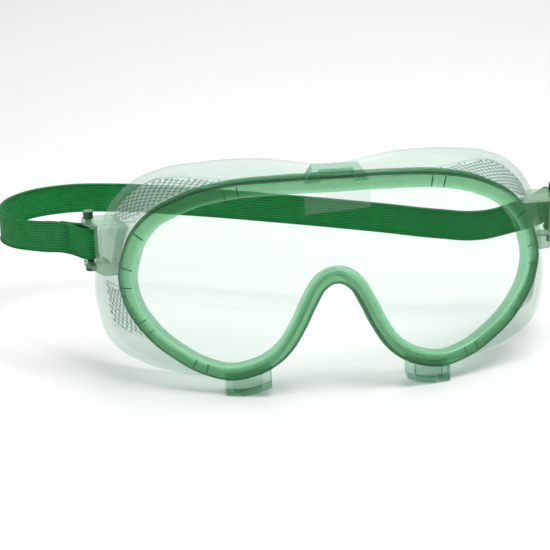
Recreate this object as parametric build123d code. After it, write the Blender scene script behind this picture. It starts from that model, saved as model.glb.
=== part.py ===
from build123d import *
import math
import os

os.makedirs("parts", exist_ok=True)

# Safety goggles, millimetres. +X to the wearer's left (the viewer's right), -Y to the front,
# +Z up. The origin is on the table, under the front centre of the lens, in the mid plane.

# Lens and rim
FRONT_RADIUS = 158.0      # the rim's front is part of a cylinder about a vertical axis
LIP_FRONT = 1.6           # front lip of the groove
LENS_THICK = 1.8
LIP_REAR = 2.0            # rear lip of the groove
RIM_DEPTH = LIP_FRONT + LENS_THICK + LIP_REAR
OUTLINE_POINTS = 64       # points on each smooth outline
LIP_WIDTH = 5.5           # how far the lips reach in over the lens
LENS_INSET = 1.4          # lens edge inside the rim's outline
BEAD = 1.3                # outer bead, beyond the outline
BEAD_START = 2.2          # depth where the bead starts
EDGE_GAP = 0.1            # lens edge to the floor of the groove

# Half of the rim's outline as (x, z), from the top centre round to the nose
HALF_OUTLINE = [
    (0.0, 87.4), (22.0, 87.0), (44.0, 84.3), (60.8, 78.0), (74.8, 67.1), (82.1, 51.5),
    (82.9, 38.5), (75.9, 24.0), (60.8, 11.8), (50.5, 7.5), (42.5, 6.4), (34.5, 8.0),
    (26.5, 11.8), (19.8, 17.8), (13.8, 27.4), (9.2, 37.0), (4.8, 43.9), (0.0, 45.9),
]
# The same half of the skirt's rear edge, as (x, depth, z)
HALF_REAR = [
    (0.0, 21.0, 87.4), (28.0, 26.5, 89.3), (50.0, 36.0, 86.2), (64.5, 43.0, 82.3),
    (78.0, 50.0, 73.8), (87.8, 56.0, 59.0), (92.5, 57.5, 35.0), (92.0, 53.5, 20.5),
    (87.5, 46.5, 9.5), (76.0, 38.0, 3.4), (62.0, 31.5, 0.4), (47.5, 26.0, 0.0),
    (35.0, 20.5, 1.2), (25.5, 16.5, 6.8), (17.5, 15.0, 17.0), (10.8, 15.0, 29.5),
    (5.2, 15.5, 40.0), (0.0, 16.0, 43.8),
]
SKIRT_WALL = 1.2
SKIRT_INSET = 0.9         # skirt's front edge inside the rim's outline

# Hoods over the lens tabs
HOOD_PROUD = 0.8          # in front of the lip
HOOD_BACK = 0.8           # behind the rim
HOOD_COVER = 1.2          # wall outside the tab
TOP_REACH = 4.2           # beyond the outline
TOP_HOOD = (13.5, 9.0)    # half widths at its foot and at its top
TOP_TAB = (-6.5, 6.5)
BOTTOM_REACH = 6.8        # before its underside is cut flat at the table
BOTTOM_HOOD = (26.5, 44.0)
BOTTOM_TAB = (30.0, 41.0)
REACHES = [TOP_REACH, BOTTOM_REACH, BOTTOM_REACH]

# Vent panels: outward direction in XZ (degrees above +X), corners as (up the outline, depth)
VENT_THICK = 0.7
VENT_SUNK = 0.25          # panel face below the skirt's outer face
VENT_SLOT = (2.0, 0.9)
VENT_PITCH = (3.4, 2.3)
VENT_MARGIN = 2.0
VENT_FROM = 50.0          # the windows start this far out from the Y axis
UPPER_VENT_FACING = 51.5
UPPER_VENT = [
    (24.0, 13.0), (-2.0, 41.0), (-17.0, 49.0), (-32.0, 52.5), (-18.0, 29.5), (5.0, 18.8),
]
LOWER_VENT_FACING = -21.5
LOWER_VENT = [(65.5, 29.5), (64.5, 49.5), (47.5, 46.5), (43.0, 26.5)]

# Strap, pins and lugs
STRAP_WIDTH = 13.0
STRAP_THICK = 1.3
PIN_X = 93.5
PIN_Y = 44.5
PIN_Z = 53.5
PIN_RADIUS = 1.3
PIN_TOP = (2.0, 3.0)      # head above the upper arm: radius, height
PIN_FOOT = (2.3, 2.0)     # head below the lower arm
LOOP_RADIUS = 2.45        # inside radius of the sewn loop
LOOP_END = 14.0           # the loop's end, from the pin
LOOP_MEET = 9.0           # where the two layers come together
STRAP_GAP = 0.3
ARM_GAP = 15.6
ARM_THICK = 2.0
# The lug's arms and plate in plan, right side
ARM_PLAN = [(78.0, 30.0), (88.5, 30.0), (95.6, 42.2), (96.4, 44.5), (93.5, 47.4), (78.0, 47.4)]
PLATE_PLAN = [(78.0, 30.0), (88.5, 30.0), (91.5, 35.0), (91.5, 39.0), (78.0, 39.0)]
ARM_RADIUS = 2.9
LEFT_HEADING = 144.5      # strap direction at each pin, degrees about +Z
RIGHT_HEADING = 88.0
STITCH_AT = 10.6
STITCH = (0.5, 11.0, 0.15)  # thread width, seam length, how proud it stands
# Middle of the strap, from the left loop round the back to the right loop
STRAP_PATH = [
    (-114.6, 62.9, 50.8), (-126.7, 75.5, 49.2), (-131.2, 95.0, 47.5), (-123.9, 116.0, 46.5),
    (-106.6, 126.0, 46.0), (-86.3, 125.5, 45.7), (-52.2, 113.0, 45.8), (-14.8, 96.0, 45.8),
    (28.3, 77.5, 44.8), (50.4, 71.0, 43.0), (67.9, 69.5, 41.5), (82.5, 73.5, 42.3),
    (91.5, 69.0, 46.8),
]

# Clear film label on the front of the lens
LABEL_SIZE = (25.0, 6.5)
LABEL_THICK = 0.12
LABEL_AT = (0.5, 77.5)
LABEL_TURN = -4.0


def closed(half):
    """Whole outline from its right half, with its seam clear of the hoods and vents."""
    whole = half + [(-point[0], *point[1:]) for point in reversed(half[1:-1])]
    return whole[2:] + whole[:2]


def grown_points(half, grow):
    """Evenly spread points of an outline grown by grow, as (x, depth, z)."""
    flat = [(point[0], point[-1], point[1] if len(point) == 3 else 0.0) for point in closed(half)]
    base = Spline(*flat, periodic=True)
    points = []
    for i in range(OUTLINE_POINTS):
        at = base @ (i / OUTLINE_POINTS)
        along = base % (i / OUTLINE_POINTS)
        long = math.hypot(along.X, along.Y)
        points.append((at.X - along.Y / long * grow, at.Z, at.Y + along.X / long * grow))
    return points


def closed_edge(points):
    return Edge.make_spline([Vector(*point) for point in points], periodic=True)


def prism(half, grow, front=-12.0, back=70.0):
    """An outline grown by grow and run straight back."""
    edge = closed_edge([(x, front, z) for x, _, z in grown_points(half, grow)])
    return extrude(Face(Wire([edge])), back - front, dir=(0, 1, 0))


def slab(near, far):
    """The space between two depths behind the rim's curved front."""
    tall = 160.0
    axis = Pos(0, FRONT_RADIUS, 45)
    outer = axis * Cylinder(FRONT_RADIUS - near, tall)
    inner = axis * Cylinder(FRONT_RADIUS - far, tall)
    front_half = Pos(0, FRONT_RADIUS - 110, 45) * Box(260, 220, tall)
    return (outer - inner) & front_half


def span(x0, x1, z0=-20.0, z1=120.0):
    """A block across the whole depth, from x0 to x1 and from z0 to z1."""
    return Pos((x0 + x1) / 2, 20, (z0 + z1) / 2) * Box(x1 - x0, 120, z1 - z0)


def mirrored(solid):
    return mirror(solid, about=Plane.YZ)


def at_three_tabs(top, right):
    """The block at the top and a pair at the bottom, from the right one's span in X."""
    lower = span(*right, z1=20)
    return [top, lower, mirrored(lower)]


def top_hood_block():
    """Block that narrows towards the top."""
    foot, head = TOP_HOOD
    low = HALF_OUTLINE[0][1] - 3
    high = HALF_OUTLINE[0][1] + TOP_REACH
    outline = [(-foot, -20, low), (foot, -20, low), (head, -20, high), (-head, -20, high)]
    return extrude(make_face(Polyline(*outline, close=True)), 60, dir=(0, 1, 0))


def make_lens():
    pane = prism(HALF_OUTLINE, -LENS_INSET - EDGE_GAP)
    for place, reach in zip(at_three_tabs(span(*TOP_TAB, z0=60), BOTTOM_TAB), REACHES):
        pane += prism(HALF_OUTLINE, reach - HOOD_COVER) & place
    return pane & slab(LIP_FRONT, LIP_FRONT + LENS_THICK) & span(-100, 100, HOOD_COVER)


def make_rim(lens):
    outer = prism(HALF_OUTLINE, 0.0)
    ring = (outer & slab(0.0, RIM_DEPTH)) + (
        prism(HALF_OUTLINE, BEAD) & slab(BEAD_START, RIM_DEPTH)
    )
    ring -= prism(HALF_OUTLINE, -LIP_WIDTH)
    groove = prism(HALF_OUTLINE, -LENS_INSET) & slab(LIP_FRONT, LIP_FRONT + LENS_THICK)
    return ring - groove - lens


def make_hoods(rim, lens):
    """Hoods over the lens tabs, each with a window that shows its tab."""
    hoods = []
    behind_front = prism(HALF_OUTLINE, 0.0) & slab(0.0, 20.0)
    hood_places = at_three_tabs(top_hood_block(), BOTTOM_HOOD)
    tab_places = at_three_tabs(span(*TOP_TAB, z0=60), BOTTOM_TAB)
    for hood, tab, reach in zip(hood_places, tab_places, REACHES):
        cover = prism(HALF_OUTLINE, reach) & hood & slab(-HOOD_PROUD, RIM_DEPTH + HOOD_BACK)
        cover = cover & span(-100, 100, 0.0)
        cover = cover - prism(HALF_OUTLINE, -1.0) - behind_front
        window = prism(HALF_OUTLINE, reach - HOOD_COVER) & tab & slab(-5.0, LIP_FRONT)
        window = window & span(-100, 100, HOOD_COVER)
        hoods.append(cover - window - rim - lens)
    return hoods


def skirt_edges(inset):
    """Front and rear edges of the skirt's surface, moved in by inset."""
    front = []
    for x, _, z in grown_points(HALF_OUTLINE, -SKIRT_INSET - inset):
        radius = FRONT_RADIUS - RIM_DEPTH
        front.append((x, FRONT_RADIUS - math.sqrt(radius**2 - x**2), z))
    return closed_edge(front), closed_edge(grown_points(HALF_REAR, -inset))


def skirt_wall(near, far):
    """The flared wall from the rim to the face, between two insets."""
    outer = skirt_edges(near)
    inner = skirt_edges(far)
    pairs = [outer, inner, (outer[0], inner[0]), (outer[1], inner[1])]
    faces = [Face.make_surface_from_curves(a, b) for a, b in pairs]
    return Solid(Shell(faces))


def vent_plane(facing):
    """Plane looking out through a vent: its X runs up the outline and its Y is the depth."""
    a = math.radians(facing)
    return Plane(origin=(0, 0, 0), x_dir=(-math.sin(a), 0, math.cos(a)),
                 z_dir=(-math.cos(a), 0, -math.sin(a)))


def vent_window(facing, corners):
    """Right-side window prism, from inside the skirt out through its wall."""
    plane = vent_plane(facing)
    outline = [plane.from_local_coords((u, y, -VENT_FROM)) for u, y in corners]
    face = make_face(Polyline(*outline, close=True))
    return extrude(face, 80, dir=-plane.z_dir)


def inside(point, corners, margin):
    """Whether a point is inside a polygon, at least margin from each side."""
    x, y = point
    turns = []
    for (x0, y0), (x1, y1) in zip(corners, corners[1:] + corners[:1]):
        long = math.hypot(x1 - x0, y1 - y0)
        turns.append(((x1 - x0) * (y - y0) - (y1 - y0) * (x - x0)) / long)
    return min(turns) > margin or max(turns) < -margin


def vent_slots(facing, corners):
    """Rows of slots that fill a window, as one set of boxes."""
    plane = vent_plane(facing)
    boxes = []
    for row in range(-20, 40):
        for column in range(-20, 40):
            u = row * VENT_PITCH[0] + (column % 2) * VENT_PITCH[0] / 2
            y = column * VENT_PITCH[1]
            if inside((u, y), corners, VENT_MARGIN):
                box = Pos(u, y, -65) * Box(*VENT_SLOT, 130)
                boxes.append(plane.from_local_coords(box))
    return Compound(children=boxes)


def make_vent(facing, corners):
    """Perforated panel that fills a window in the skirt, right side."""
    panel = skirt_wall(VENT_SUNK, VENT_SUNK + VENT_THICK) & vent_window(facing, corners)
    return panel - vent_slots(facing, corners)


def make_skirt(windows):
    """The flared soft skirt with its vent windows."""
    wall = skirt_wall(0.0, SKIRT_WALL)
    for window in windows:
        wall = wall - window - mirrored(window)
    return wall


def plan_block(points, z0, z1):
    """A block with this plan, from z0 to z1."""
    return extrude(make_face(Polyline(*points, close=True)), z1 - z0, dir=(0, 0, 1)).moved(
        Location((0, 0, z0))
    )


def make_lug(wall, rim):
    """Right-side bracket: a plate on the skirt and two arms that hold the pin."""
    reach = ARM_GAP / 2 + ARM_THICK
    low = PIN_Z - reach
    high = PIN_Z + reach
    lug = plan_block(PLATE_PLAN, low, high)
    for z0 in (low, high - ARM_THICK):
        lug += plan_block(ARM_PLAN, z0, z0 + ARM_THICK)
        lug += Pos(PIN_X, PIN_Y, z0 + ARM_THICK / 2) * Cylinder(ARM_RADIUS, ARM_THICK)
    bore = Pos(PIN_X, PIN_Y, PIN_Z) * Cylinder(PIN_RADIUS, 40)
    return (lug - bore - wall - rim).solids().sort_by(Axis.X)[-1]


def make_pin():
    """Right-side pin with its two heads."""
    reach = ARM_GAP / 2 + ARM_THICK
    top_radius, top_height = PIN_TOP
    foot_radius, foot_height = PIN_FOOT
    pin = Pos(0, 0, 0) * Cylinder(PIN_RADIUS, 2 * reach)
    pin += Pos(0, 0, reach + top_height / 2) * Cylinder(top_radius, top_height)
    pin += Pos(0, 0, -reach - foot_height / 2) * Cylinder(foot_radius, foot_height)
    return Pos(PIN_X, PIN_Y, PIN_Z) * pin


def teardrop(radius, meet, half_thick):
    """Plan of a loop round the pin whose two sides come together at meet."""
    far = math.hypot(meet, half_thick)
    touch = math.acos(radius / far) if radius < far else 0.0
    lean = touch + math.atan2(half_thick, meet)
    x, y = radius * math.cos(lean), radius * math.sin(lean)
    arc = ThreePointArc((x, y), (-radius, 0), (x, -y))
    sides = Polyline((x, -y), (meet, -half_thick), (meet, half_thick), (x, y))
    return make_face(Wire([arc.edge(), *sides.edges()]))


def make_loop():
    """Sewn end of the strap round the pin at the origin, heading along +X."""
    outer = teardrop(LOOP_RADIUS + STRAP_THICK, LOOP_MEET, STRAP_THICK)
    hole = teardrop(LOOP_RADIUS, LOOP_MEET - 0.6, 0.05)
    plan = outer - hole
    loop = extrude(plan, STRAP_WIDTH, dir=(0, 0, 1)).moved(Location((0, 0, -STRAP_WIDTH / 2)))
    tail = LOOP_END - LOOP_MEET
    loop += Pos(LOOP_MEET + tail / 2, 0, 0) * Box(tail, 2 * STRAP_THICK, STRAP_WIDTH)
    return loop


def make_stitching():
    """Seam through both layers of a loop, in the loop's own place."""
    width, length, proud = STITCH
    return Pos(STITCH_AT, 0, 0) * Box(width, 2 * (STRAP_THICK + proud), length)


def at_pin(solid, side, heading):
    return Pos(side * PIN_X, PIN_Y, PIN_Z) * Rot(0, 0, heading) * solid


def band_end(side, heading, layer):
    """Where the band leaves a loop, and its direction there."""
    a = math.radians(heading)
    along = LOOP_END + STRAP_GAP
    across = layer * STRAP_THICK / 2
    x = side * PIN_X + along * math.cos(a) - across * math.sin(a)
    y = PIN_Y + along * math.sin(a) + across * math.cos(a)
    return (x, y, PIN_Z), (math.cos(a), math.sin(a), 0)


def make_band():
    """The strap between its two loops."""
    start, away = band_end(-1, LEFT_HEADING, 1)
    end, out = band_end(1, RIGHT_HEADING, -1)
    back = (-out[0], -out[1], 0)
    middle = Spline(start, *STRAP_PATH, end, tangents=(away, back))
    low = middle.moved(Location((0, 0, -STRAP_WIDTH / 2)))
    high = middle.moved(Location((0, 0, STRAP_WIDTH / 2)))
    ribbon = Face.make_surface_from_curves(low.edge(), high.edge())
    return thicken(ribbon, STRAP_THICK / 2, both=True)


def make_label():
    """Clear film on the front of the lens."""
    x, z = LABEL_AT
    wide, high = LABEL_SIZE
    block = Pos(x, 0, z) * Rot(0, LABEL_TURN, 0) * Box(wide, 20, high)
    return block & slab(LIP_FRONT - LABEL_THICK, LIP_FRONT)


def make_all():
    """Every node by name."""
    lens = make_lens()
    rim = make_rim(lens)
    wall = skirt_wall(0.0, SKIRT_WALL)
    hoods = make_hoods(rim, lens)
    windows = [
        vent_window(UPPER_VENT_FACING, UPPER_VENT),
        vent_window(LOWER_VENT_FACING, LOWER_VENT),
    ]
    upper_vent = make_vent(UPPER_VENT_FACING, UPPER_VENT)
    lower_vent = make_vent(LOWER_VENT_FACING, LOWER_VENT)
    lug = make_lug(wall, rim)
    pin = make_pin()
    stitching = make_stitching()
    loop = make_loop() - stitching
    return {
        "face_skirt": make_skirt(windows),
        "lens_rim": rim,
        "lens": lens,
        "top_tab_hood": hoods[0],
        "bottom_right_tab_hood": hoods[1],
        "bottom_left_tab_hood": hoods[2],
        "upper_right_vent": upper_vent,
        "upper_left_vent": mirrored(upper_vent),
        "lower_right_vent": lower_vent,
        "lower_left_vent": mirrored(lower_vent),
        "right_strap_lug": lug,
        "left_strap_lug": mirrored(lug),
        "right_strap_pin": pin,
        "left_strap_pin": mirrored(pin),
        "strap_band": make_band(),
        "left_strap_loop": at_pin(loop, -1, LEFT_HEADING),
        "right_strap_loop": at_pin(loop, 1, RIGHT_HEADING),
        "left_strap_stitching": at_pin(stitching, -1, LEFT_HEADING),
        "right_strap_stitching": at_pin(stitching, 1, RIGHT_HEADING),
        "lens_label": make_label(),
    }


for name, solid in make_all().items():
    export_step(solid, f"parts/{name}.step")
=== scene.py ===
import math

import bmesh
import bpy
from mathutils import Matrix, Vector


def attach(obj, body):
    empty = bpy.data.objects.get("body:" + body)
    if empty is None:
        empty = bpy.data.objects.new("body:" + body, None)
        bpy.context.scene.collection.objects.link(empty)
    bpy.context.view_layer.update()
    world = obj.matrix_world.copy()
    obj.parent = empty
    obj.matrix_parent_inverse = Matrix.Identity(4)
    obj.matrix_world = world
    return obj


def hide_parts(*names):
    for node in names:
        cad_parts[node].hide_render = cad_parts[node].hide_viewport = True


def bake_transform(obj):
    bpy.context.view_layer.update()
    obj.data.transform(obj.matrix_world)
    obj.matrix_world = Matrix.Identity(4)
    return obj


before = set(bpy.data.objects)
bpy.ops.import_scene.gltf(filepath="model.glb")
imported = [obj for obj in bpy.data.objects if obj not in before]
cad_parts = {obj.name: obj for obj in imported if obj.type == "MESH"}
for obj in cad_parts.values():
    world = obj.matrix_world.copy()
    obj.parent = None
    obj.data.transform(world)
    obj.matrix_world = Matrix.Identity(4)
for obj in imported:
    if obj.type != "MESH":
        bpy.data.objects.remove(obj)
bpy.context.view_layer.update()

MM = 0.001

# Rim front, as in the part's source
FRONT_RADIUS = 158.0
RIM_DEPTH = 5.4
HALF_OUTLINE = [
    (0.0, 87.4), (22.0, 87.0), (44.0, 84.3), (60.8, 78.0), (74.8, 67.1), (82.1, 51.5),
    (82.9, 38.5), (75.9, 24.0), (60.8, 11.8), (50.5, 7.5), (42.5, 6.4), (34.5, 8.0),
    (26.5, 11.8), (19.8, 17.8), (13.8, 27.4), (9.2, 37.0), (4.8, 43.9), (0.0, 45.9),
]
# Skirt's rear edge as (x, depth, z)
HALF_REAR = [
    (0.0, 21.0, 87.4), (28.0, 26.5, 89.3), (50.0, 36.0, 86.2), (64.5, 43.0, 82.3),
    (78.0, 50.0, 73.8), (87.8, 56.0, 59.0), (92.5, 57.5, 35.0), (92.0, 53.5, 20.5),
    (87.5, 46.5, 9.5), (76.0, 38.0, 3.4), (62.0, 31.5, 0.4), (47.5, 26.0, 0.0),
    (35.0, 20.5, 1.2), (25.5, 16.5, 6.8), (17.5, 15.0, 17.0), (10.8, 15.0, 29.5),
    (5.2, 15.5, 40.0), (0.0, 16.0, 43.8),
]
# Rim's section as (beyond the outline, behind its front), from the inner edge outwards
RIM_SECTION = [
    (-5.5, 1.0), (-5.35, 0.4), (-4.9, 0.08), (-4.2, 0.0), (-3.2, 0.0), (-2.2, 0.0),
    (-1.2, 0.0), (-0.5, 0.05), (-0.15, 0.3), (0.0, 0.8), (0.0, 1.7), (0.15, 2.1),
    (0.6, 2.15), (1.1, 2.4), (1.3, 2.9), (1.3, 4.6), (1.05, 5.2), (0.5, 5.4),
    (-4.8, 5.4), (-5.35, 5.1), (-5.5, 4.4), (-5.5, 2.6),
]
RIM_AROUND = 256      # points round the rim
SEAMS = (38.0, 43.5, 84.0, 100.0, 109.0, 124.0, 129.0, 151.0, 156.0)  # from the top centre
SEAM_HALF_WIDTH = 0.22
SEAM_MIDDLE = -2.85   # middle of a seam line, from the outline
SEAM_REACH = 2.1      # half its length
SEAM_SUNK = 0.12
SEAM_HALF_THICK = 0.16
SEAM_BEVEL = 0.08
SKIRT_INSET = 0.9
SKIRT_WALL = 1.2
CREASE_AT = 0.87      # where the rear flange starts, as a share of the skirt's depth
CREASE_DIP = 1.3      # how far the crease dips in
AROUND = 288          # points round the skirt
SKIRT_CUTS = 22       # rows of mesh from rim to crease
FLANGE_CUTS = 4       # and from crease to rear edge

# Vent windows: outward direction (degrees above +X) and corners as (up the outline, depth)
UPPER_FACING = 51.5
UPPER_CORNERS = [
    (24.0, 13.0), (-2.0, 41.0), (-17.0, 49.0), (-32.0, 52.5), (-18.0, 29.5), (5.0, 18.8),
]
LOWER_FACING = -21.5
LOWER_CORNERS = [(65.5, 29.5), (64.5, 49.5), (47.5, 46.5), (43.0, 26.5)]
VENT_SUNK = 0.25
VENT_THICK = 0.7
VENT_BORDER = 1.0
VENT_OVERLAP = 1.5    # how far a panel's grid runs past its window before it is trimmed
WINDOW_FROM = 50.0    # where a window's block starts, outwards from the origin
WINDOW_LONG = 80.0
VENT_AROUND = 608     # grid steps round the skirt; two to a hole and two to the gap
VENT_DEEP = 26        # grid steps from rim to crease; every other one has holes

# Strap
STRAP_WIDTH = 13.0
STRAP_THICK = 1.3
STRAP_STEPS = 1400    # points along the strap
EDGE_ROUND = 0.5
RIB_SPACING = 1.15
WEFT_SPACING = 0.8
PIN = (93.5, 44.5, 53.5)
LOOP_RADIUS = 2.45
LOOP_END = 14.0
LEFT_HEADING = 144.5
RIGHT_HEADING = 88.0
STRAP_PATH = [
    (-114.6, 62.9, 50.8), (-126.7, 75.5, 49.2), (-131.2, 95.0, 47.5), (-123.9, 116.0, 46.5),
    (-106.6, 126.0, 46.0), (-86.3, 125.5, 45.7), (-52.2, 113.0, 45.8), (-14.8, 96.0, 45.8),
    (28.3, 77.5, 44.8), (50.4, 71.0, 43.0), (67.9, 69.5, 41.5), (82.5, 73.5, 42.3),
    (91.5, 69.0, 46.8),
]
LEFT_JOIN = 2         # points of the path where the sewn ends meet the band
RIGHT_JOIN = 9

# Stitches
STITCH_ROWS = (-0.6, 0.6)
STITCHES = 7          # in a row
STITCH_STEP = 1.6
STITCH_SIZE = (0.28, 0.16, 0.68)
STITCH_LEAN = 0.25
STITCH_PROUD = 0.02
SEAM_FROM_PIN = 10.8

CAMERA_ROLL = -1.9


def deselect():
    if bpy.context.object and bpy.context.object.mode != "OBJECT":
        bpy.ops.object.mode_set(mode="OBJECT")
    bpy.ops.object.select_all(action="DESELECT")


def pick(obj):
    """Makes obj the only selected object, and the active one."""
    deselect()
    obj.select_set(True)
    bpy.context.view_layer.objects.active = obj


def settle(obj):
    """Puts the object's place into its mesh."""
    pick(obj)
    bpy.ops.object.transform_apply(location=True, rotation=True, scale=True)


def apply_modifier(obj, kind, **values):
    pick(obj)
    modifier = obj.modifiers.new(kind.lower(), kind)
    for name, value in values.items():
        setattr(modifier, name, value)
    bpy.ops.object.modifier_apply(modifier=modifier.name)


# ---------------------------------------------------------------- materials


def new_material(name):
    material = bpy.data.materials.new(name)
    material.use_nodes = True
    material.node_tree.nodes.clear()
    return material


def node(material, kind, **values):
    made = material.node_tree.nodes.new(kind)
    for name, value in values.items():
        if name in made.inputs:
            made.inputs[name].default_value = value
        else:
            setattr(made, name, value)
    return made


def link(material, source, target):
    material.node_tree.links.new(source, target)


def object_noise(material, scale, detail=3.0):
    place = node(material, "ShaderNodeTexCoord")
    noise = node(material, "ShaderNodeTexNoise")
    noise.inputs["Scale"].default_value = scale
    noise.inputs["Detail"].default_value = detail
    link(material, place.outputs["Object"], noise.inputs["Vector"])
    return noise.outputs["Fac"]


def bumped(material, height, distance, surface, strength=1.0):
    """Gives a surface relief from a height."""
    bump = node(material, "ShaderNodeBump")
    bump.inputs["Distance"].default_value = distance
    bump.inputs["Strength"].default_value = strength
    link(material, height, bump.inputs["Height"])
    link(material, bump.outputs["Normal"], surface.inputs["Normal"])


def veiled(material, density, clear, solid, output):
    """Mixes a clear and a solid finish by density."""
    mix = node(material, "ShaderNodeMixShader")
    link(material, density, mix.inputs["Fac"])
    link(material, clear.outputs["BSDF"], mix.inputs[1])
    link(material, solid.outputs["BSDF"], mix.inputs[2])
    link(material, mix.outputs["Shader"], output.inputs["Surface"])


def see_through(name, tint, skin, body, edge, roughness, bump_scale, bump_depth):
    """Clear soft plastic: clear in the middle, denser where it is seen edge on."""
    material = new_material(name)
    output = node(material, "ShaderNodeOutputMaterial")
    clear = node(material, "ShaderNodeBsdfTransparent")
    clear.inputs["Color"].default_value = (*tint, 1)
    solid = node(material, "ShaderNodeBsdfPrincipled")
    solid.inputs["Base Color"].default_value = (*skin, 1)
    solid.inputs["Roughness"].default_value = roughness
    solid.inputs["IOR"].default_value = 1.5
    facing = node(material, "ShaderNodeLayerWeight")
    facing.inputs["Blend"].default_value = 0.5
    dense = node(material, "ShaderNodeMapRange")
    dense.inputs["To Min"].default_value = body
    dense.inputs["To Max"].default_value = edge
    link(material, facing.outputs["Facing"], dense.inputs["Value"])
    bumped(material, object_noise(material, bump_scale), bump_depth, solid)
    veiled(material, dense.outputs["Result"], clear, solid, output)
    return material


def plain(name, colour, roughness, scale, bump_depth, variation):
    """A solid finish with a little colour variation and grain."""
    material = new_material(name)
    output = node(material, "ShaderNodeOutputMaterial")
    surface = node(material, "ShaderNodeBsdfPrincipled")
    surface.inputs["Roughness"].default_value = roughness
    noise = object_noise(material, scale)
    ramp = node(material, "ShaderNodeValToRGB")
    ramp.color_ramp.elements[0].color = (*[c * (1 - variation) for c in colour], 1)
    ramp.color_ramp.elements[1].color = (*colour, 1)
    link(material, noise, ramp.inputs["Fac"])
    link(material, ramp.outputs["Color"], surface.inputs["Base Color"])
    bumped(material, noise, bump_depth, surface)
    link(material, surface.outputs["BSDF"], output.inputs["Surface"])
    return material


def rim_material():
    """Green vinyl, with a dark painted shade line where its outer edge steps, its bead darkened
    as painted shade, and a painted highlight along its inner edge.

    The UV map's V runs across the section, from the inner edge over the front to the bead.
    """
    material = new_material("green rim vinyl")
    output = node(material, "ShaderNodeOutputMaterial")
    uv = node(material, "ShaderNodeUVMap")
    split = node(material, "ShaderNodeSeparateXYZ")
    link(material, uv.outputs["UV"], split.inputs["Vector"])
    wander = node(material, "ShaderNodeMath", operation="MULTIPLY_ADD")
    wander.inputs[1].default_value = 0.05
    link(material, object_noise(material, 60.0), wander.inputs[0])
    link(material, split.outputs["Y"], wander.inputs[2])
    skin = ramp_of(material, wander.outputs["Value"], RIM_SKIN)
    tint = ramp_of(material, wander.outputs["Value"], RIM_TINT)
    dense = ramp_of(material, wander.outputs["Value"], RIM_DENSITY)
    clear = node(material, "ShaderNodeBsdfTransparent")
    link(material, tint, clear.inputs["Color"])
    solid = node(material, "ShaderNodeBsdfPrincipled")
    solid.inputs["Roughness"].default_value = 0.12
    link(material, skin, solid.inputs["Base Color"])
    bumped(material, object_noise(material, 70.0), 0.0002, solid)
    veiled(material, dense, clear, solid, output)
    return material


def ramp_of(material, value, stops):
    """A colour ramp over value, from (position, colour) stops."""
    ramp = node(material, "ShaderNodeValToRGB")
    elements = ramp.color_ramp.elements
    while len(elements) < len(stops):
        elements.new(0.5)
    for element, (position, colour) in zip(elements, stops):
        element.position = position
        element.color = (*colour, 1)
    link(material, value, ramp.inputs["Fac"])
    return ramp.outputs["Color"]


# Stops across the rim's section: inner edge (pale, a painted highlight), front face, step (dark,
# a painted shade line), bead (darker, painted shade), back
RIM_SKIN = [
    (0.0, (0.36, 0.80, 0.50)), (0.12, (0.22, 0.60, 0.32)), (0.20, (0.06, 0.27, 0.10)),
    (0.34, (0.05, 0.24, 0.09)), (0.39, (0.006, 0.05, 0.014)), (0.50, (0.005, 0.045, 0.012)),
    (0.58, (0.02, 0.15, 0.05)), (0.75, (0.015, 0.11, 0.04)), (0.85, (0.12, 0.38, 0.20)),
]
RIM_TINT = [
    (0.0, (0.70, 0.97, 0.79)), (0.20, (0.58, 0.88, 0.65)), (0.34, (0.56, 0.86, 0.62)),
    (0.39, (0.2, 0.5, 0.30)), (0.50, (0.2, 0.5, 0.30)), (0.58, (0.42, 0.74, 0.50)),
    (0.85, (0.75, 0.94, 0.80)),
]
RIM_DENSITY = [
    (0.0, (0.45, 0.45, 0.45)), (0.16, (0.38, 0.38, 0.38)), (0.34, (0.45, 0.45, 0.45)),
    (0.39, (0.9, 0.9, 0.9)), (0.50, (0.9, 0.9, 0.9)), (0.58, (0.65, 0.65, 0.65)),
    (0.85, (0.25, 0.25, 0.25)),
]


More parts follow.
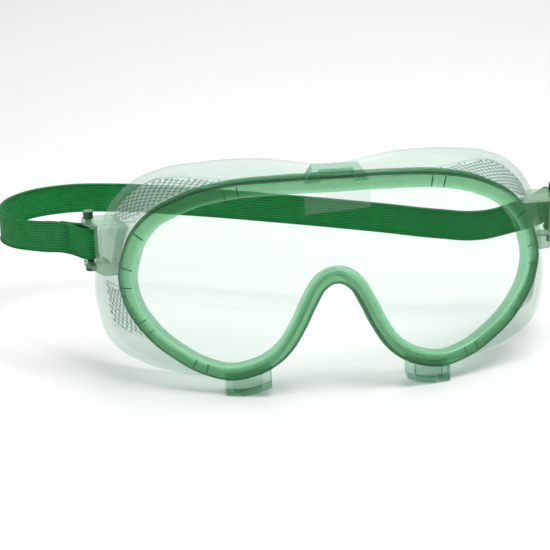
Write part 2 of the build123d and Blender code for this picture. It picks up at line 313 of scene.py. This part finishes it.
def elastic_material():
    """Ribbed green elastic webbing. The UV map's U runs along the strap, in millimetres."""
    material = new_material("green ribbed elastic")
    output = node(material, "ShaderNodeOutputMaterial")
    cloth = node(material, "ShaderNodeBsdfPrincipled")
    cloth.inputs["Roughness"].default_value = 0.75
    cloth.inputs["Specular IOR Level"].default_value = 0.2
    cloth.inputs["Sheen Weight"].default_value = 0.04
    uv = node(material, "ShaderNodeUVMap")
    split = node(material, "ShaderNodeSeparateXYZ")
    link(material, uv.outputs["UV"], split.inputs["Vector"])
    knit = node(material, "ShaderNodeMath", operation="MULTIPLY")
    knit.inputs[1].default_value = 2 * math.pi / RIB_SPACING
    link(material, split.outputs["Y"], knit.inputs[0])
    wave = node(material, "ShaderNodeMath", operation="SINE")
    link(material, knit.outputs["Value"], wave.inputs[0])
    cross = node(material, "ShaderNodeMath", operation="MULTIPLY")
    cross.inputs[1].default_value = 2 * math.pi / WEFT_SPACING
    link(material, split.outputs["X"], cross.inputs[0])
    knots = node(material, "ShaderNodeMath", operation="SINE")
    link(material, cross.outputs["Value"], knots.inputs[0])
    grain = node(material, "ShaderNodeMath", operation="MULTIPLY_ADD")
    grain.inputs[1].default_value = 0.12
    link(material, knots.outputs["Value"], grain.inputs[0])
    link(material, object_noise(material, 900.0, 2.0), grain.inputs[2])
    height = node(material, "ShaderNodeMath", operation="MULTIPLY_ADD")
    height.inputs[1].default_value = 0.3
    link(material, wave.outputs["Value"], height.inputs[0])
    link(material, grain.outputs["Value"], height.inputs[2])
    bumped(material, height.outputs["Value"], 0.00025, cloth, 0.7)
    # Colour: darker in the rib grooves as painted shade following the rib wave, plus random tone
    # from noise.
    colour = node(material, "ShaderNodeValToRGB")
    colour.color_ramp.elements[0].color = (0.003, 0.13, 0.025, 1)
    colour.color_ramp.elements[0].position = 0.1
    colour.color_ramp.elements[1].color = (0.008, 0.24, 0.05, 1)
    colour.color_ramp.elements[1].position = 0.9
    rib_shade_and_tone = node(material, "ShaderNodeMath", operation="MULTIPLY_ADD")
    rib_shade_and_tone.inputs[1].default_value = 0.35
    link(material, wave.outputs["Value"], rib_shade_and_tone.inputs[0])
    link(material, object_noise(material, 260.0, 5.0), rib_shade_and_tone.inputs[2])
    link(material, rib_shade_and_tone.outputs["Value"], colour.inputs["Fac"])
    link(material, colour.outputs["Color"], cloth.inputs["Base Color"])
    link(material, cloth.outputs["BSDF"], output.inputs["Surface"])
    return material


CLEAR_VINYL = see_through("clear soft vinyl", (0.95, 0.98, 0.962), (0.38, 0.54, 0.44),
                          0.03, 0.5, 0.16, 160.0, 0.0003)
VENT_VINYL = see_through("clear vent vinyl", (0.96, 0.985, 0.97), (0.62, 0.78, 0.68),
                         0.12, 0.5, 0.3, 220.0, 0.0002)
SLOT_EDGE = see_through("vent slot edges", (0.6, 0.75, 0.66), (0.05, 0.13, 0.08),
                        0.4, 0.6, 0.4, 220.0, 0.0001)
GREEN_VINYL = see_through("green hood vinyl", (0.86, 0.96, 0.9), (0.09, 0.32, 0.17),
                          0.09, 0.85, 0.1, 90.0, 0.0001)
OLIVE_VINYL = see_through("olive lug vinyl", (0.9, 0.965, 0.92), (0.15, 0.33, 0.18),
                          0.1, 0.75, 0.15, 120.0, 0.0001)
# The lens tint is its own faint green, deepened as painted shade for the shaded table and strap
# seen through it.
LENS_CLEAR = see_through("lens polycarbonate", (0.945, 0.98, 0.962), (0.4, 0.6, 0.5),
                         0.002, 0.06, 0.04, 20.0, 0.00002)
FILM = see_through("clear label film", (0.95, 0.975, 0.96), (0.6, 0.72, 0.66),
                   0.05, 0.3, 0.15, 200.0, 0.00005)
SEAM_GREEN = see_through("seam line vinyl", (0.45, 0.75, 0.55), (0.015, 0.1, 0.04),
                         0.6, 0.9, 0.2, 120.0, 0.00005)
PIN_GREEN = see_through("dark pin plastic", (0.2, 0.45, 0.28), (0.01, 0.06, 0.025),
                        0.75, 0.98, 0.15, 120.0, 0.00005)
ELASTIC = elastic_material()
RIM_VINYL = rim_material()
THREAD = plain("green thread", (0.01, 0.2, 0.06), 0.7, 3000.0, 0.00008, 0.15)
FLOOR = plain("white table", (0.86, 0.87, 0.865), 0.55, 4.0, 0.00002, 0.02)


def dress(obj, material):
    obj.data.materials.clear()
    obj.data.materials.append(material)


# ---------------------------------------------------------------- skirt and vents


def whole_outline(half):
    return half + [(-point[0], *point[1:]) for point in reversed(half[1:-1])]


def curve_points(points, count, cyclic):
    """Evenly spaced points on a smooth curve through points."""
    curve = bpy.data.curves.new("guide", "CURVE")
    curve.dimensions = "3D"
    curve.resolution_u = 48
    spline = curve.splines.new("BEZIER")
    spline.bezier_points.add(len(points) - 1)
    for bezier, point in zip(spline.bezier_points, points):
        bezier.co = point
        bezier.handle_left_type = "AUTO"
        bezier.handle_right_type = "AUTO"
    spline.use_cyclic_u = cyclic
    guide = bpy.data.objects.new("guide", curve)
    bpy.context.collection.objects.link(guide)
    pick(guide)
    bpy.ops.object.convert(target="MESH")
    dense = [vertex.co.copy() for vertex in guide.data.vertices]
    bpy.data.objects.remove(guide)
    if cyclic:
        dense.append(dense[0])
    lengths = [0.0]
    for a, b in zip(dense, dense[1:]):
        lengths.append(lengths[-1] + (b - a).length)
    steps = count if cyclic else count - 1
    spaced = []
    at = 0
    for i in range(count):
        want = min(lengths[-1] * i / steps, lengths[-1] * 0.999999)
        while lengths[at + 1] < want:
            at += 1
        share = (want - lengths[at]) / (lengths[at + 1] - lengths[at])
        spaced.append(dense[at].lerp(dense[at + 1], share))
    return spaced


def rim_rear_depth(x):
    radius = FRONT_RADIUS - RIM_DEPTH
    return FRONT_RADIUS - math.sqrt(radius**2 - x**2)


def moved_in(ring, distance):
    """A ring of points moved in by distance, square to the ring as seen from the front."""
    moved = []
    for i, point in enumerate(ring):
        along = ring[(i + 1) % len(ring)] - ring[i - 1]
        inward = Vector((along.z, 0.0, -along.x)).normalized()
        moved.append(point + inward * distance)
    return moved


def skirt_rings(around):
    """Front edge, crease and rear edge of the skirt's outer surface, in millimetres."""
    flat = [(x, 0.0, z) for x, z in whole_outline(HALF_OUTLINE)]
    front = moved_in(curve_points(flat, around, True), SKIRT_INSET)
    for point in front:
        point.y = rim_rear_depth(point.x)
    rear = curve_points(whole_outline(HALF_REAR), around, True)
    crease = [a.lerp(b, CREASE_AT) for a, b in zip(front, rear)]
    return front, moved_in(crease, CREASE_DIP), rear


def ring_object(points):
    """A closed loop of edges through points given in millimetres."""
    deselect()
    bpy.ops.mesh.primitive_circle_add(vertices=len(points), radius=1.0)
    ring = bpy.context.object
    for vertex, point in zip(ring.data.vertices, points):
        vertex.co = point * MM
    return ring


def join(objects):
    deselect()
    for obj in objects:
        obj.select_set(True)
    bpy.context.view_layer.objects.active = objects[0]
    bpy.ops.object.join()
    return objects[0]


def bridged(ring_a, ring_b, cuts):
    """The band of surface between two rings."""
    band = join([ring_object(ring_a), ring_object(ring_b)])
    bpy.ops.object.mode_set(mode="EDIT")
    bpy.ops.mesh.select_all(action="SELECT")
    bpy.ops.mesh.bridge_edge_loops(number_cuts=cuts, interpolation="LINEAR")
    bpy.ops.object.mode_set(mode="OBJECT")
    return band


def tidy_mesh(obj):
    """Merges doubles and turns the faces outwards."""
    pick(obj)
    bpy.ops.object.mode_set(mode="EDIT")
    bpy.ops.mesh.select_all(action="SELECT")
    bpy.ops.mesh.remove_doubles(threshold=1e-6)
    bpy.ops.mesh.normals_make_consistent(inside=False)
    bpy.ops.object.mode_set(mode="OBJECT")


def smooth(obj, degrees):
    pick(obj)
    bpy.ops.object.shade_smooth_by_angle(angle=math.radians(degrees))


def window_block(facing, corners):
    """Block over a right-side vent window, from inside the skirt out through its wall."""
    a = math.radians(facing)
    up = Vector((-math.sin(a), 0.0, math.cos(a)))
    out = Vector((math.cos(a), 0.0, math.sin(a)))
    block = ring_object([up * u + Vector((0.0, y, 0.0)) + out * WINDOW_FROM for u, y in corners])
    bpy.ops.object.mode_set(mode="EDIT")
    bpy.ops.mesh.select_all(action="SELECT")
    bpy.ops.mesh.edge_face_add()
    bpy.ops.mesh.extrude_region_move(TRANSFORM_OT_translate={"value": out * WINDOW_LONG * MM})
    bpy.ops.object.mode_set(mode="OBJECT")
    tidy_mesh(block)
    return block


def mirrored(obj, name):
    """A copy on the other side of the middle plane."""
    pick(obj)
    bpy.ops.object.duplicate()
    copy = bpy.context.object
    copy.name = name
    copy.scale.x = -1.0
    settle(copy)
    bpy.ops.object.mode_set(mode="EDIT")
    bpy.ops.mesh.select_all(action="SELECT")
    bpy.ops.mesh.flip_normals()
    bpy.ops.object.mode_set(mode="OBJECT")
    return copy


def in_window(point, facing, corners, margin):
    """Whether a point, in millimetres, is at least margin inside a right-side vent window."""
    a = math.radians(facing)
    up = -math.sin(a) * point.x + math.cos(a) * point.z
    if math.cos(a) * point.x + math.sin(a) * point.z < WINDOW_FROM:
        return False
    turns = []
    for (u0, y0), (u1, y1) in zip(corners, corners[1:] + corners[:1]):
        long = math.hypot(u1 - u0, y1 - y0)
        turns.append(((u1 - u0) * (point.y - y0) - (y1 - y0) * (up - u0)) / long)
    return min(turns) > margin or max(turns) < -margin


def make_vent(name, facing, corners, block):
    """Perforated panel in one window: a grid laid on the skirt, with staggered slots."""
    front, crease, _ = skirt_rings(VENT_AROUND)
    front = moved_in(front, VENT_SUNK)
    crease = moved_in(crease, VENT_SUNK)
    deselect()
    half = VENT_AROUND // 2
    bpy.ops.mesh.primitive_grid_add(x_subdivisions=half, y_subdivisions=VENT_DEEP, size=2.0)
    vent = bpy.context.object
    vent.name = name
    mesh = vent.data
    for vertex in mesh.vertices:
        i = round((vertex.co.x + 1) / 2 * half)
        share = (vertex.co.y + 1) / 2
        vertex.co = front[i].lerp(crease[i], share) * MM
    doomed = []
    for face in mesh.polygons:
        column = face.index % half
        row = face.index // half
        centre = face.center / MM
        slot = row % 2 == 1 and (column + row // 2 % 2 * 2) % 4 < 2
        if not in_window(centre, facing, corners, -VENT_OVERLAP):
            doomed.append(face.index)
        elif slot and in_window(centre, facing, corners, VENT_BORDER):
            doomed.append(face.index)
    bm = bmesh.new()
    bm.from_mesh(mesh)
    bm.faces.ensure_lookup_table()
    bmesh.ops.delete(bm, geom=[bm.faces[i] for i in doomed], context="FACES")
    bm.to_mesh(mesh)
    bm.free()
    tidy_mesh(vent)
    dress(vent, VENT_VINYL)
    vent.data.materials.append(SLOT_EDGE)
    apply_modifier(vent, "SOLIDIFY", thickness=VENT_THICK * MM, offset=-1.0,
                   material_offset_rim=1)
    apply_modifier(vent, "BOOLEAN", operation="INTERSECT", object=block, solver="EXACT")
    smooth(vent, 35)
    return vent


def make_skirt(blocks):
    """The flared soft skirt, with a window cut for each vent."""
    front, crease, rear = skirt_rings(AROUND)
    skirt = join([bridged(front, crease, SKIRT_CUTS), bridged(crease, rear, FLANGE_CUTS)])
    skirt.name = "skirt"
    tidy_mesh(skirt)
    apply_modifier(skirt, "SOLIDIFY", thickness=SKIRT_WALL * MM, offset=-1.0)
    for block in blocks:
        apply_modifier(skirt, "BOOLEAN", operation="DIFFERENCE", object=block, solver="EXACT")
    smooth(skirt, 30)
    return skirt


def make_soft_body():
    """Skirt and vents, on the goggles body."""
    windows = {
        "upper_right_vent": (UPPER_FACING, UPPER_CORNERS),
        "lower_right_vent": (LOWER_FACING, LOWER_CORNERS),
    }
    blocks = []
    vents = {}
    for name, (facing, corners) in windows.items():
        block = window_block(facing, corners)
        other = mirrored(block, name + "_window")
        vents[name] = make_vent(name.replace("right", "right_panel"), facing, corners, block)
        left = name.replace("right", "left")
        vents[left] = mirrored(vents[name], name.replace("right", "left_panel"))
        blocks += [block, other]
    skirt = make_skirt(blocks)
    for block in blocks:
        bpy.data.objects.remove(block)
    for node_name, vent in vents.items():
        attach(vent, "goggles")
        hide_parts(node_name)
    dress(skirt, CLEAR_VINYL)
    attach(skirt, "goggles")
    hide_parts("face_skirt")


# ---------------------------------------------------------------- rim


def front_depth(x):
    return FRONT_RADIUS - math.sqrt(FRONT_RADIUS**2 - x**2)


def rim_lines():
    """The rim's outline in its front, and how far round from the top centre each point is."""
    flat = [(x, 0.0, z) for x, z in whole_outline(HALF_OUTLINE)]
    outline = curve_points(flat, RIM_AROUND, True)
    around = [0.0]
    for a, b in zip(outline, outline[1:] + outline[:1]):
        around.append(around[-1] + (b - a).length)
    return outline, around


def on_rim(outline, i, grow, depth):
    """A point beyond the outline by grow and behind the rim's front by depth, in metres."""
    along = outline[(i + 1) % len(outline)] - outline[i - 1]
    outward = Vector((-along.z, 0.0, along.x)).normalized()
    point = outline[i] + outward * grow
    x = point.x
    turn = math.asin(x / FRONT_RADIUS)
    point.y = front_depth(x) + depth * math.cos(turn)
    point.x = x - depth * math.sin(turn)
    return point * MM


def make_rim():
    """Rim: a ring whose section follows RIM_SECTION all the way round."""
    outline, around = rim_lines()
    count = len(RIM_SECTION)
    deselect()
    bpy.ops.mesh.primitive_torus_add(
        major_segments=RIM_AROUND, minor_segments=count, generate_uvs=False
    )
    rim = bpy.context.object
    rim.name = "rim"
    mesh = rim.data
    for vertex in mesh.vertices:
        i, j = divmod(vertex.index, count)
        vertex.co = on_rim(outline, i, *RIM_SECTION[j])
    layer = mesh.uv_layers.new(name="section")
    for face in mesh.polygons:
        steps = [divmod(mesh.loops[k].vertex_index, count) for k in face.loop_indices]
        far_round = max(i for i, _ in steps) == RIM_AROUND - 1 and min(i for i, _ in steps) == 0
        far_across = max(j for _, j in steps) == count - 1 and min(j for _, j in steps) == 0
        for k, (i, j) in zip(face.loop_indices, steps):
            i += RIM_AROUND if far_round and i == 0 else 0
            j += count if far_across and j == 0 else 0
            layer.data[k].uv = (around[i], j / count)
    mesh.uv_layers.active = layer
    tidy_mesh(rim)
    smooth(rim, 50)
    dress(rim, RIM_VINYL)
    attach(rim, "goggles")
    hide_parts("lens_rim")


def make_rim_seams():
    """Thin dark lines across the rim's front."""
    outline, around = rim_lines()
    seams = []
    places = list(SEAMS) + [around[-1] - d for d in SEAMS]
    for distance in places:
        i = min(range(RIM_AROUND), key=lambda k: abs(around[k] - distance))
        bpy.ops.object.select_all(action="DESELECT")
        bpy.ops.mesh.primitive_cube_add(size=2.0)
        seam = bpy.context.object
        along = (outline[(i + 1) % RIM_AROUND] - outline[i - 1]).normalized()
        for vertex in seam.data.vertices:
            grow = SEAM_MIDDLE + SEAM_REACH * vertex.co.x
            depth = SEAM_SUNK + SEAM_HALF_THICK * vertex.co.z
            side = along * (SEAM_HALF_WIDTH * vertex.co.y * MM)
            vertex.co = on_rim(outline, i, grow, depth) + side
        seams.append(seam)
    lines = join(seams)
    lines.name = "rim_seams"
    tidy_mesh(lines)
    apply_modifier(lines, "BEVEL", width=SEAM_BEVEL * MM, segments=2)
    dress(lines, SEAM_GREEN)
    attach(lines, "goggles")


# ---------------------------------------------------------------- strap


def from_pin(side, heading, along, across, height=0.0):
    """A point near a pin: along the loop's heading and across to its left, in millimetres."""
    a = math.radians(heading)
    x = side * PIN[0] + along * math.cos(a) - across * math.sin(a)
    y = PIN[1] + along * math.sin(a) + across * math.cos(a)
    return Vector((x, y, PIN[2] + height))


def loop_path(side, heading, layer):
    """Middle of the strap from its tail, round the pin and out to the band."""
    half = STRAP_THICK / 2
    radius = LOOP_RADIUS + half
    path = [(LOOP_END, -half), (11.5, -half), (9.0, -half - 0.1), (5.0, -1.8)]
    for angle in (-74, -110, -145, 180, 145, 110, 74):
        turn = math.radians(angle)
        path.append((radius * math.cos(turn), radius * math.sin(turn)))
    path += [(5.0, 1.8), (9.0, half + 0.1), (11.5, half), (LOOP_END, half)]
    return [from_pin(side, heading, along, layer * across) for along, across in path]


def sweep(name, line, first, last, distance):
    """Strap webbing along part of a line, with its length and width as UVs in millimetres."""
    half_width = STRAP_WIDTH / 2
    half_thick = STRAP_THICK / 2
    profile = []
    for sign_w, sign_t in ((1, 1), (-1, 1), (-1, -1), (1, -1)):
        corner = [(0.0, 1.0), (0.7, 0.7), (1.0, 0.0)]
        if sign_w * sign_t < 0:
            corner.reverse()
        for across, through in corner:
            width = sign_w * (half_width - EDGE_ROUND * (1 - across))
            thick = sign_t * (half_thick - EDGE_ROUND * (1 - through))
            profile.append((width, thick))
    bm = bmesh.new()
    uv = bm.loops.layers.uv.new("along")
    rings = []
    for i in range(first, last + 1):
        tangent = (line[min(i + 1, len(line) - 1)] - line[max(i - 1, 0)]).normalized()
        up = Vector((0, 0, 1))
        up = (up - tangent * up.dot(tangent)).normalized()
        side = tangent.cross(up)
        ring = [bm.verts.new((line[i] + up * w + side * t) * MM) for w, t in profile]
        rings.append(ring)
    count = len(profile)
    for i in range(len(rings) - 1):
        for j in range(count):
            k = (j + 1) % count
            face = bm.faces.new((rings[i][j], rings[i][k], rings[i + 1][k], rings[i + 1][j]))
            corners = ((i, j), (i, k), (i + 1, k), (i + 1, j))
            for loop, (step, at) in zip(face.loops, corners):
                loop[uv].uv = (distance[first + step], profile[at][0])
    for ring in (rings[0], rings[-1]):
        cap = bm.faces.new(ring)
        for loop, (width, _) in zip(cap.loops, profile):
            loop[uv].uv = (0.0, width)
    bmesh.ops.recalc_face_normals(bm, faces=bm.faces)
    mesh = bpy.data.meshes.new(name)
    bm.to_mesh(mesh)
    bm.free()
    webbing = bpy.data.objects.new(name, mesh)
    bpy.context.scene.collection.objects.link(webbing)
    smooth(webbing, 50)
    dress(webbing, ELASTIC)
    return webbing


def nearest(line, point):
    return min(range(len(line)), key=lambda i: (line[i] - point).length)


def make_strap():
    """The strap in three lengths: two sewn ends that bend into the band, and the band."""
    left = loop_path(-1, LEFT_HEADING, 1)
    right = loop_path(1, RIGHT_HEADING, -1)
    band = [Vector(point) for point in STRAP_PATH]
    points = left + band + list(reversed(right))
    line = curve_points(points, STRAP_STEPS, False)
    distance = [0.0]
    for a, b in zip(line, line[1:]):
        distance.append(distance[-1] + (b - a).length)
    join_left = nearest(line, Vector(STRAP_PATH[LEFT_JOIN]))
    join_right = nearest(line, Vector(STRAP_PATH[RIGHT_JOIN]))
    left_end = sweep("left_strap_end", line, 0, join_left, distance)
    middle = sweep("strap_webbing", line, join_left, join_right, distance)
    right_end = sweep("right_strap_end", line, join_right, len(line) - 1, distance)
    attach(middle, "strap")
    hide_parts("strap_band")
    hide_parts("left_strap_loop")
    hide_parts("right_strap_loop")
    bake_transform(left_end)
    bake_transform(right_end)


def make_stitching(name, side, heading, body):
    """Two rows of short stitches on each face of a sewn loop."""
    stitches = []
    out = STRAP_THICK + STITCH_PROUD
    for row in STITCH_ROWS:
        for face in (-1, 1):
            for step in range(STITCHES):
                height = (step - STITCHES // 2) * STITCH_STEP
                bpy.ops.object.select_all(action="DESELECT")
                bpy.ops.mesh.primitive_uv_sphere_add(segments=8, ring_count=6, radius=1.0)
                stitch = bpy.context.object
                stitch.scale = [size * MM for size in STITCH_SIZE]
                stitch.rotation_euler = (0.0, STITCH_LEAN, math.radians(heading))
                place = from_pin(side, heading, SEAM_FROM_PIN + row, face * out, height)
                stitch.location = place * MM
                stitches.append(stitch)
    seam = join(stitches)
    settle(seam)
    seam.name = name
    smooth(seam, 60)
    dress(seam, THREAD)
    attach(seam, body)
    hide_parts(name.replace("seam", "strap_stitching"))


# ---------------------------------------------------------------- carried-over nodes and room


def dress_nodes():
    for name, material in {
        "top_tab_hood": GREEN_VINYL,
        "bottom_right_tab_hood": GREEN_VINYL,
        "bottom_left_tab_hood": GREEN_VINYL,
        "lens": LENS_CLEAR,
        "lens_label": FILM,
        "right_strap_lug": OLIVE_VINYL,
        "left_strap_lug": OLIVE_VINYL,
        "right_strap_pin": PIN_GREEN,
        "left_strap_pin": PIN_GREEN,
    }.items():
        dress(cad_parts[name], material)


def make_room():
    """White table top and soft studio light."""
    deselect()
    bpy.ops.mesh.primitive_plane_add(size=6.0)
    floor = bpy.context.object
    floor.name = "floor"
    dress(floor, FLOOR)
    world = bpy.data.worlds.new("studio")
    world.use_nodes = True
    background = world.node_tree.nodes["Background"]
    background.inputs["Color"].default_value = (1.0, 1.0, 1.0, 1)
    background.inputs["Strength"].default_value = 0.52
    bpy.context.scene.world = world
    for name, place, size, power in (
        ("key", (0.2, -0.1, 0.9), 0.45, 6.0),
        ("fill", (-0.7, -0.4, 0.6), 0.6, 1.5),
        ("back", (0.1, 0.9, 0.6), 0.8, 2.0),
    ):
        light = bpy.data.lights.new(name, "AREA")
        light.size = size
        light.energy = power
        lamp = bpy.data.objects.new(name, light)
        lamp.location = place
        aim = Vector((0.0, 0.04, 0.04)) - Vector(place)
        lamp.rotation_euler = aim.to_track_quat("-Z", "Y").to_euler()
        bpy.context.scene.collection.objects.link(lamp)


def make_camera():
    """Long lens a little above and to the left, rolled slightly."""
    place = Vector((-0.0792, -0.6295, 0.2842))
    target = Vector((-0.0223, 0.0209, 0.0431))
    data = bpy.data.cameras.new("camera")
    data.sensor_width = 36.0
    data.lens = 116.9
    data.clip_start = 0.01
    data.clip_end = 20.0
    camera = bpy.data.objects.new("camera", data)
    turn = (target - place).to_track_quat("-Z", "Y").to_matrix()
    turn = turn @ Matrix.Rotation(math.radians(CAMERA_ROLL), 3, "Z")
    camera.matrix_world = Matrix.Translation(place) @ turn.to_4x4()
    bpy.context.scene.collection.objects.link(camera)
    bpy.context.scene.camera = camera
    bpy.context.scene.view_settings.view_transform = "Standard"


make_rim()
make_rim_seams()
make_soft_body()
make_strap()
make_stitching("left_seam", -1, LEFT_HEADING, "left_loop")
make_stitching("right_seam", 1, RIGHT_HEADING, "right_loop")
dress_nodes()
make_room()
make_camera()
